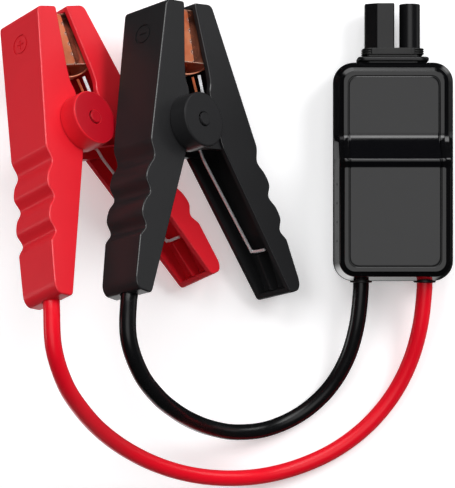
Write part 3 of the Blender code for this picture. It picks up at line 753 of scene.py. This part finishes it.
def jaw_lip(colour, place, look):
    """The flat end of the braid, laid over the lower end of the moving jaw's base."""
    low, high, thick = 23.8, 26.7, 0.45
    wide_base, narrow_base = jaw_back(low, JAW_SHEET), jaw_back(high, JAW_SHEET)
    outline = (
        (wide_base + 0.1, low, 0),
        (narrow_base + 0.1, high, 0),
        (narrow_base - thick * 0.6, high, 0.3),
        (wide_base - thick, low + 0.9, 0.4),
        (wide_base - thick, low, 0.3),
    )
    width = JAW_SIDE - JAW_SHEET - 0.1
    lip = prism(on_side(rounded(outline, 3), 1), -width, width, 0.2, 2)
    made = put(f"{colour}_braid_end", lip, look, place, 40)
    on(f"{colour}_moving_half", made, "copper")


def throat_bars(colour, place, looks):
    """Two bars from the strap down towards the coil: a wide bright one and a thin copper one."""
    upward = place.inverted().to_3x3() @ Vector((0, 0, 1))
    for name, look, start, end, wide in (
        ("braid_clip", "steel", (19.8, 21.9, 0.0), (22.4, 9.0, -1.0), 0.62),
        ("braid_edge", "copper", (16.1, 20.9, 0.0), (19.4, 9.0, -1.0), 0.5),
    ):
        start, end = Vector(start), Vector(end)
        run = (end - start).normalized()
        across = run.cross(upward).normalized()
        facing = across.cross(run)
        turn = Matrix((across, run, facing)).transposed().to_4x4()
        long = (end - start).length
        outline = rounded(((-wide, 0, 0.2), (wide, 0, 0.2), (wide, long, 0.2), (-wide, long, 0.2)), 3)
        spot = place @ at(*start) @ turn
        made = put(f"{colour}_{name}", prism(outline, -0.3, 0.3, 0.12, 2), looks[look], spot, 40)
        on(f"{colour}_moving_half", made, look)


def spring(colour, place, look):
    """Torsion spring: a leg in each handle and a coil that rides on neither half."""
    low = COIL_TURNS * COIL_PITCH / 2
    start = radians(-150)
    per_turn = 28
    coil = []
    for i in range(round(COIL_TURNS * per_turn) + 1):
        angle = start - 2 * pi * i / per_turn
        height = low - COIL_PITCH * i / per_turn
        coil.append(Vector((COIL_R * cos(angle), COIL_R * sin(angle), height)))
    fixed_leg = (
        (-16.7, -31.0, low + 0.2), (-12.2, -23.4, low + 0.2), (-6.6, -12.0, low),
        (-4.6, -6.6, low), coil[0],
    )
    moving_leg = (
        coil[-1], (7.6, -1.8, -low), (13.2, -3.2, -low),
        (17.6, -5.4, LEG_Z), (20.2, -10.6, LEG_Z), (29.5, -26.3, LEG_Z),
        (39.0, -42.3, LEG_Z), (39.7, -43.3, LEG_Z + 0.3), (40.0, -43.7, -1.5),
        (40.2, -43.9, 3.0),
    )
    moving = f"{colour}_moving_half"
    made = put(f"{colour}_spring_coil", wire(coil, WIRE_R), look, place, 60)
    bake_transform(made)
    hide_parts(f"{colour}_spring")
    for name, leg, body in (("fixed_leg", fixed_leg, "root"), ("moving_leg", moving_leg, moving)):
        knots = [Vector(point) for point in leg]
        bent = flowing([knots[0] * 2 - knots[1], *knots, knots[-1] * 2 - knots[-2]], 6)
        made = put(f"{colour}_spring_{name}", wire(bent, WIRE_R), look, place, 60)
        on(body, made, "steel")


def clamp(colour, looks):
    """All the pieces of one clamp."""
    place = clamp_place(colour)
    for side in (-1, 1):
        grip(colour, side, place, looks)
        jaw(colour, side, place, looks)
    for end in BOSS_TOPS:
        boss(colour, end, place, looks)
    pin(colour, place, looks)
    strap(colour, place, looks["braid"])
    jaw_lip(colour, place, looks["braid"])
    throat_bars(colour, place, looks)
    spring(colour, place, looks["wire"])


# ---------------------------------------------------------------- cables

BLACK_ROUTE = (
    (-34.1, -65.6, 70.4), (-30.2, -77.8, 65.7), (-24.4, -86.6, 56.7), (-18.7, -92.4, 45.6),
    (-13.1, -96.8, 33.7), (-6.2, -100.4, 22.3), (3.2, -102.8, 12.5), (15.2, -102.0, 5.8),
    (27.6, -96.6, 3.2), (37.8, -87.4, 4.3), (44.6, -75.8, 7.4), (48.2, -62.9, 10.5),
)
RED_ROUTE = (
    (-59.9, -68.9, 71.3), (-56.4, -81.7, 65.0), (-51.3, -91.4, 55.2), (-45.0, -99.7, 44.6),
    (-36.6, -107.1, 34.9), (-26.2, -113.3, 26.5), (-14.4, -117.7, 18.8), (-1.5, -119.9, 12.0),
    (12.3, -119.7, 6.7), (26.4, -116.5, 4.0), (39.9, -110.5, 3.2), (51.8, -101.7, 3.2),
    (61.4, -90.5, 3.9), (68.0, -77.6, 6.3), (71.7, -63.7, 9.8),
)
LAYOUT_ORIGIN = Vector((0.121, -0.091, 0))  # of the routes' points
STRAIGHT_END = 2.5  # how far a cable runs straight outside its hole
CORE_DEPTH = 22.4  # how far a cable reaches up inside its handle
BOX_DEPTH = 6.0  # how far a cable reaches into the box


def cable(colour, route, box_x, box, look):
    """From the lug inside its handle, out of the handle, along the route and into its grommet."""
    place = clamp_place(colour)
    depths = (CORE_DEPTH, CORE_DEPTH / 2, -STRAIGHT_END)
    inside = [place @ ((CABLE_HOLE + CABLE_IN * depth) * MM) for depth in depths]
    wall = -BOX_LENGTH / 2
    end = [box @ (Vector((box_x, wall + y, SPLIT_Z)) * MM) for y in (-STRAIGHT_END, BOX_DEPTH)]
    middle = [(Vector(p) - LAYOUT_ORIGIN) * MM for p in route]
    points = [inside[0], *flowing([*inside[-2:], *middle, *end], 8), end[-1]]
    data = bpy.data.curves.new(colour + "_lead", "CURVE")
    data.dimensions = "3D"
    data.bevel_depth = CABLE_R * MM
    data.bevel_resolution = 8
    data.use_fill_caps = True
    spline = data.splines.new("POLY")
    spline.points.add(len(points) - 1)
    for spot, point in zip(spline.points, points):
        spot.co = (*point, 1)
    spline.use_smooth = True
    data.materials.append(look)
    lead = placed(colour + "_lead", data)
    on("root", lead, colour + "_silicone", colour + "_cable")


# ---------------------------------------------------------------- control box

STEP = (  # (along, height, rounding) of the face, from the plug's end to the cables' end
    (40.6, LOW_TOP, 0),
    (12.4, LOW_TOP, 2.6),
    (4.3, HIGH_TOP + 1.0, 0.7),
    (3.4, HIGH_TOP + 1.0, 0.5),
    (1.3, HIGH_TOP, 0.5),
    (-40.6, HIGH_TOP, 0),
)


def face_line():
    """The face along the box as a fine line of (along, height)."""
    line = []
    for i, (y, z, size) in enumerate(STEP):
        if size == 0:
            line.append((y, z))
            continue
        here = Vector((y, z))
        before = Vector(STEP[i - 1][:2]) - here
        after = Vector(STEP[i + 1][:2]) - here
        before = before.normalized() * min(size, 0.49 * before.length)
        after = after.normalized() * min(size, 0.49 * after.length)
        for k in range(5):
            t = k / 4
            p = (here + before) * (1 - t) ** 2 + here * 2 * t * (1 - t) + (here + after) * t**2
            line.append((p.x, p.y))
    return line


FACE = face_line()


def face_height(y):
    """Height of the box's face at a place along it."""
    for (y1, z1), (y2, z2) in zip(FACE, FACE[1:]):
        if y <= y1 and y >= y2:
            return z1 + (z2 - z1) * (y1 - y) / (y1 - y2)
    return LOW_TOP if y > 0 else HIGH_TOP


def box_outline(inset, corner=None):
    """The box's rounded outline moved in by inset, with points on both long sides where the face steps."""
    steps = 10
    corner = max(BOX_CORNER - inset, PANEL_CORNER) if corner is None else corner
    x, y = BOX_WIDTH / 2 - inset, BOX_LENGTH / 2 - inset
    stations = sorted(v for v, _ in FACE[1:-1])
    right = []
    for start, cx, cy in ((-90, x - corner, corner - y), (0, x - corner, y - corner)):
        for k in range(steps + 1):
            angle = radians(start + 90 * k / steps)
            right.append((cx + corner * cos(angle), cy + corner * sin(angle)))
        if start < 0:
            right += [(x, v) for v in stations]
    return right + [(-a, b) for a, b in right[::-1]]


def box_loft(rings):
    """Lofts outlines given as (inset, depth below the face or None, height); its ends follow the step."""
    bm = bmesh.new()
    loops = []
    for inset, depth, height in rings:
        loop = []
        for x, y in box_outline(inset):
            loop.append((x, y, height if depth is None else face_height(y) - depth))
        loops.append(loop)
    made = skin(bm, loops)
    for loop in (made[0], made[-1]):
        half = len(loop) // 2
        right, left = loop[:half], loop[half:][::-1]
        for i in range(half - 1):
            bm.faces.new((right[i], right[i + 1], left[i + 1], left[i]))
    return bm


def front_shell(box, look):
    """The upper half of the case, from its inside over the split up to the panel's edge."""
    rings = [
        (4.6, 2.6, 0), (2.2, 5.2, 0), (2.2, None, SPLIT_Z + 0.15), (0.25, None, SPLIT_Z + 0.15),
        (0, None, SPLIT_Z + 0.4), (0.12, None, 14.2), (0.25, None, 16.4), (1.65, 2.0, 0),
        (1.75, 1.5, 0), (1.95, 1.18, 0), (2.25, 0.98, 0), (3.45, 0.52, 0),
        (3.6, 0.4, 0), (3.64, 0.06, 0), (3.8, 0, 0), (PANEL_INSET - 0.45, 0, 0),
        (PANEL_INSET - 0.25, 0.12, 0), (PANEL_INSET - 0.2, 0.3, 0), (PANEL_INSET - 0.2, 1.0, 0),
    ]
    shell = put("front_shell", box_loft(rings), look, box, 30)
    steps = []
    first, pitch = -4.8, -6.95
    for side in (-1, 1):
        for number in range(4):
            spot = (side * (BOX_WIDTH / 2 - 1.3), first + pitch * number, 20.7)
            dimple = turned(((0, -1.0), (0.45, -0.5), (0.55, 1.2), (0, 1.2)), 16)
            steps.append(("DIFFERENCE", dimple, box @ along(spot, (side, 0, 0.9))))
    settle_box(shell, steps, box)
    return on("root", shell, "gloss_black", "front_cover")


def settle_box(shell, steps, box):
    """Applies the steps and cuts the openings for the plug and the cables."""
    wide, tall = PLUG_OPENING
    low = (-wide, BOX_LENGTH / 2 - 12, PLUG_Z - tall)
    high = (wide, BOX_LENGTH / 2 + 5, PLUG_Z + tall)
    steps.append(("DIFFERENCE", block(low, high), box))
    for x in (-CABLE_OFFSET, CABLE_OFFSET):
        spot = at(x, -BOX_LENGTH / 2, SPLIT_Z) @ Matrix.Rotation(pi / 2, 4, "X")
        steps.append(("DIFFERENCE", rod(GLAND_HOLE_R, -6, 5, 48), box @ spot))
    settle(shell, steps, 30)


def back_shell(box, look):
    """The lower half of the case, with a rounded rim and screw holes."""

    def ring(inset, z):
        return [(x, y, z) for x, y in box_outline(inset, BOX_CORNER - inset)]

    levels = [(2.8, 2.2), (2.2, 2.8), (2.2, SPLIT_Z - 0.15), (0.25, SPLIT_Z - 0.15), (0, SPLIT_Z - 0.4)]
    levels.append((0.45, 2.6))
    for k in range(6):
        turn = pi / 2 * k / 5
        levels.append((0.5 + 2.1 * (1 - cos(turn)), 2.1 * (1 - sin(turn))))
    shell = put("back_shell", loft([ring(*level) for level in levels]), look, box, 30)
    steps = [("DIFFERENCE", rod(3.0, -1, 1.9, 40), box @ at(x, y, 0)) for x, y in SCREW_PLACES]
    settle_box(shell, steps, box)
    return on("root", shell, "gloss_black", "back_cover")


def panel(box, look):
    """The inset panel, which follows the step of the face."""
    profile = ((0, 0.9), (0, 0.3), (0.1, 0.1), (0.35, 0), (0.8, -0.03))
    rings = [(PANEL_INSET + inset, depth, 0) for inset, depth in profile]
    made = put("panel_skin", box_loft(rings), look, box, 25)
    return on("root", made, "face_panel", "face_plate")


def screws(box, look):
    """Four countersunk screws with cross recesses in the back."""
    profile = ((0, 0.6), (2.2, 0.6), (2.5, 0.8), (2.6, 1.1), (2.6, 1.9), (1.3, 1.9), (1.3, 16.2), (0, 16.2))
    for number, (x, y) in enumerate(SCREW_PLACES, 1):
        spot = box @ at(x, y, 0)
        made = put(f"case_screw_{number}", turned(profile, 36), look, spot)
        steps = []
        for turn in (0, pi / 2):
            slot = block((-1.5, -0.32, -1), (1.5, 0.32, 1.25))
            steps.append(("DIFFERENCE", slot, spot @ Matrix.Rotation(turn, 4, "Z")))
        settle(made, steps, 32)
        on("root", made, "steel", f"cover_screw_{number}")


def oblong(x, y, size, steps):
    """A rounded rectangle of half sizes x and y."""
    return rounded(((-x, -y, size), (x, -y, size), (x, y, size), (-x, y, size)), steps)


def plug(box, looks):
    """The twin-barrel plug, its contacts, shoulder and seal; heights fall towards the plug's tip."""
    facing = box @ at(0, 0, PLUG_Z) @ Matrix.Rotation(pi / 2, 4, "X")
    tip, root = -62.4, -45.3
    left, right, half = -1.05, 5.35, 5.35
    slope_y = 2.15  # where the sloping corners of the square barrel end
    outline = (
        (left, -half, 0.3), (right, -half, 0.5), (right, half, 0.5),
        (left, half, 0.3), (-half, slope_y, 0.3), (-half, -slope_y, 0.3),
    )
    square = [(x + SQUARE_X, y) for x, y in rounded(outline, 4)]
    body = put("plug_shell", prism(square, tip, root, 0.35, 3), looks["plug"], facing, 30)
    steps = [("UNION", prism(oblong(9.5, 5.1, 0.8, 4), root - 0.6, -31.5), facing)]
    barrel = ((0, tip), (3.45, tip), (3.72, tip + 0.11), (3.85, tip + 0.4), (3.85, root), (0, root))
    steps.append(("UNION", turned(barrel, 48), facing @ at(ROUND_X, 0, 0)))
    bore = ((0, -64), (3.3, -64), (2.8, -61.9), (2.8, -30), (0, -30))
    for x in (SQUARE_X, ROUND_X):
        steps.append(("DIFFERENCE", turned(bore, 40), facing @ at(x, 0, 0)))
    settle(body, steps, 32)
    on("root", body, "gloss_black", "plug_body")
    contact = ((0, -27.6), (2.5, -27.6), (2.5, -59.6), (2.3, -60.2), (1.9, -60.5), (1.7, -60.2))
    contact += ((1.7, -53.4), (0, -53.4))
    for name, x in (("left", SQUARE_X), ("right", ROUND_X)):
        made = put(f"socket_{name}", turned(contact, 40), looks["brass"], facing @ at(x, 0, 0))
        on("root", made, "contact_brass", f"plug_contact_{name}")
    flange = prism(oblong(13.2, 7.5, 3.5, 8), -42.5, -40.8, 0.6, 3)
    made = put("plug_shoulder", flange, looks["plug"], facing, 30)
    opening = oblong(*PLUG_OPENING, 0.8, 4)
    settle(made, [("DIFFERENCE", prism(opening, -44, -39), facing)], 30)
    on("root", made, "gloss_black", "plug_flange")
    ribbed_collar(facing, opening, looks["rubber"])


def ribbed_collar(facing, opening, look):
    """The ribbed seal round the plug's neck, with a smooth pad on its front and back."""
    loops = []
    start, pitch, count = -43.35, -0.8, 3
    rib = ((0.0, 0.0), (0.12, 0.55), (0.35, 0.75), (0.6, 0.75), (0.82, 0.55), (0.95, 0.0))
    for number in range(count):
        for share, swell in rib:
            z = start + pitch * (number + share)
            outline = oblong(10.65 + swell, 6.0 + swell * 0.6, 3.0, 8)
            loops.append([(x, y, z) for x, y in outline])
    made = put("ribbed_seal", loft(loops), look, facing, 40)
    pad = rounded(((-8.3, -6.62, 0.5), (8.0, -6.62, 0.5), (8.0, 6.62, 0.5), (-8.3, 6.62, 0.5)), 3)
    steps = [("UNION", prism(pad, -45.75, -43.3, 0.25, 2), facing)]
    for x in (-6.2, 6.6):
        for y in (-6.7, 6.7):
            groove = block((x - 0.16, y - 0.35, -47), (x + 0.16, y + 0.35, -42))
            steps.append(("DIFFERENCE", groove, facing))
    steps.append(("DIFFERENCE", prism(opening, -47, -42), facing))
    settle(made, steps, 40)
    on("root", made, "black_rubber", "plug_collar")


def grommet(name, x, box, look):
    """The rubber gland that a cable comes out of, held by a flange inside the box."""
    profile = (
        (CABLE_R + 0.15, -4.6), (5.0, -4.6), (5.0, -3.0), (GLAND_R, -3.0),
        (GLAND_R, 0.35), (GLAND_R - 0.1, 0.5), (GLAND_R - 0.4, 0.6), (CABLE_R + 0.4, 0.6),
        (CABLE_R + 0.15, 0.4),
    )
    spot = at(x, -BOX_LENGTH / 2, SPLIT_Z) @ Matrix.Rotation(pi / 2, 4, "X")
    made = put(name + "_gland", turned(profile, 48), look, box @ spot)
    on("root", made, "black_rubber", name)


def inside_parts(looks):
    """The solids that stay as they are, with finer materials."""
    finishes = {
        "board": ("circuit_board",),
        "matte": ("controller_chip", "relay_black_side", "relay_red_side"),
        "can": ("capacitor",),
        "copper": ("black_cable_lug", "red_cable_lug"),
        "steel": ("black_lug_rivet", "red_lug_rivet"),
    }
    for look, nodes in finishes.items():
        for node in nodes:
            materials = frame["nodes"][node].data.materials
            materials.clear()
            materials.append(looks[look])


# ---------------------------------------------------------------- scene

FLOOR_R, FLOOR_PLACE, FLOOR_GLOW = 0.6, (0, -0.033, -0.0002), 0.36
PALE, PALER = (0.855, 0.855, 0.865), (0.865, 0.865, 0.875)
DIM_DOME = 0.012
SOFTBOXES = (  # direction, angle to its full and to its last light, brightness
    ((0, 0.03, 1), 12, 30, 1.12),
    ((0, 0.60, 0.80), 7, 18, 0.75),
    ((-0.99, 0.0, -0.10), 4, 12, 3.0),
    ((0.08, 0.67, 0.745), 4, 11, 4.0),
    ((-0.28, 0.74, 0.60), 10, 24, 2.4),
    ((0.68, 0.68, 0.22), 8, 20, 3.0),
    ((-0.50, 0.02, -0.86), 8, 14, 0.3),
    ((0.05, -0.50, -0.86), 8, 16, 0.5),
    ((0.93, 0.31, -0.15), 12, 24, 0.5),
    ((-0.30, -0.48, -0.82), 12, 26, 1.5),
)
LAMPS = (  # name, place, size and power
    ("key_light", (0.62, 0.40, 0.70), 0.5, 6.3),
    ("fill_light", (-0.5, 0.10, 0.85), 0.6, 2.2),
)
LAMP_AIM = Vector((0, 0, 0.02))
CAMERA_PLACE, CAMERA_LENS = (-0.00008, -0.03285, 0.850), 166.5


def floor():
    """A pale disc that glows a little and isn't mirrored in the pieces."""
    bm = bmesh.new()
    bmesh.ops.create_circle(bm, cap_ends=True, segments=128, radius=FLOOR_R)
    glow = {"Emission_Color": (1, 1, 1, 1), "Emission_Strength": FLOOR_GLOW}
    made, tree, shader = looks_like("pale_floor", (0.86, 0.86, 0.87), 0.7, **glow)
    tree.links.new(tint(tree, noise(tree, 3.0), PALE, PALER), shader.inputs["Base Color"])
    mesh = bpy.data.meshes.new("studio_floor")
    bm.to_mesh(mesh)
    bm.free()
    mesh.materials.append(made)
    obj = placed("studio_floor", mesh)
    obj.location = FLOOR_PLACE
    obj.visible_glossy = False


def lamp(name, place, size, power):
    """A round lamp that lights surfaces but isn't mirrored in them."""
    data = bpy.data.lights.new(name, "AREA")
    data.shape = "DISK"
    data.size = size
    data.energy = power
    obj = placed(name, data)
    obj.location = place
    obj.rotation_euler = (LAMP_AIM - Vector(place)).to_track_quat("-Z", "Y").to_euler()
    obj.visible_glossy = False


def sky():
    """A dim dome with soft boxes that surfaces mirror, and pale where the camera sees it."""
    world = bpy.data.worlds.new("studio_dome")
    bpy.context.scene.world = world
    world.use_nodes = True
    tree = world.node_tree
    tree.nodes.clear()
    link = tree.links.new
    place = tree.nodes.new("ShaderNodeTexCoord")
    total = None
    for direction, inner, outer, value in SOFTBOXES:
        facing = tree.nodes.new("ShaderNodeVectorMath")
        facing.operation = "DOT_PRODUCT"
        link(place.outputs["Generated"], facing.inputs[0])
        facing.inputs[1].default_value = Vector(direction).normalized()
        last, full = cos(radians(outer)), cos(radians(inner))
        glow = add(tree, "ShaderNodeMapRange", From_Min=last, From_Max=full, To_Min=0.0, To_Max=value)
        glow.interpolation_type = "SMOOTHSTEP"
        link(facing.outputs["Value"], glow.inputs["Value"])
        joined = tree.nodes.new("ShaderNodeMath")
        joined.operation = "ADD"
        link(glow.outputs["Result"], joined.inputs[0])
        joined.inputs[1].default_value = DIM_DOME
        if total:
            link(total, joined.inputs[1])
        total = joined.outputs["Value"]
    dome = add(tree, "ShaderNodeBackground", Color=(1, 1, 1, 1))
    link(total, dome.inputs["Strength"])
    seen = add(tree, "ShaderNodeBackground", Color=(0.985, 0.985, 0.99, 1), Strength=1.0)
    path = tree.nodes.new("ShaderNodeLightPath")
    mix = tree.nodes.new("ShaderNodeMixShader")
    out = tree.nodes.new("ShaderNodeOutputWorld")
    link(path.outputs["Is Camera Ray"], mix.inputs["Fac"])
    link(dome.outputs["Background"], mix.inputs[1])
    link(seen.outputs["Background"], mix.inputs[2])
    link(mix.outputs["Shader"], out.inputs["Surface"])


def camera():
    """Looks straight down, which is a camera's direction when it isn't turned."""
    data = bpy.data.cameras.new("camera")
    data.sensor_width = 36.0
    data.lens = CAMERA_LENS
    data.clip_start = 0.05
    data.clip_end = 20
    obj = placed("camera", data)
    obj.location = CAMERA_PLACE
    bpy.context.scene.camera = obj


def main():
    """The camera, the stage and every piece."""
    bpy.context.scene.view_settings.view_transform = "Standard"
    looks = make_looks()
    box = box_place()
    camera()
    floor()
    sky()
    for values in LAMPS:
        lamp(*values)
    cable("black", BLACK_ROUTE, -CABLE_OFFSET, box, looks["black_cable"])
    cable("red", RED_ROUTE, CABLE_OFFSET, box, looks["red_cable"])
    for colour in ("black", "red"):
        clamp(colour, looks)
    front_shell(box, looks["gloss"])
    back_shell(box, looks["gloss"])
    panel(box, looks["panel"])
    screws(box, looks["steel"])
    plug(box, looks)
    grommet("black_grommet", -CABLE_OFFSET, box, looks["rubber"])
    grommet("red_grommet", CABLE_OFFSET, box, looks["rubber"])
    inside_parts(looks)


main()
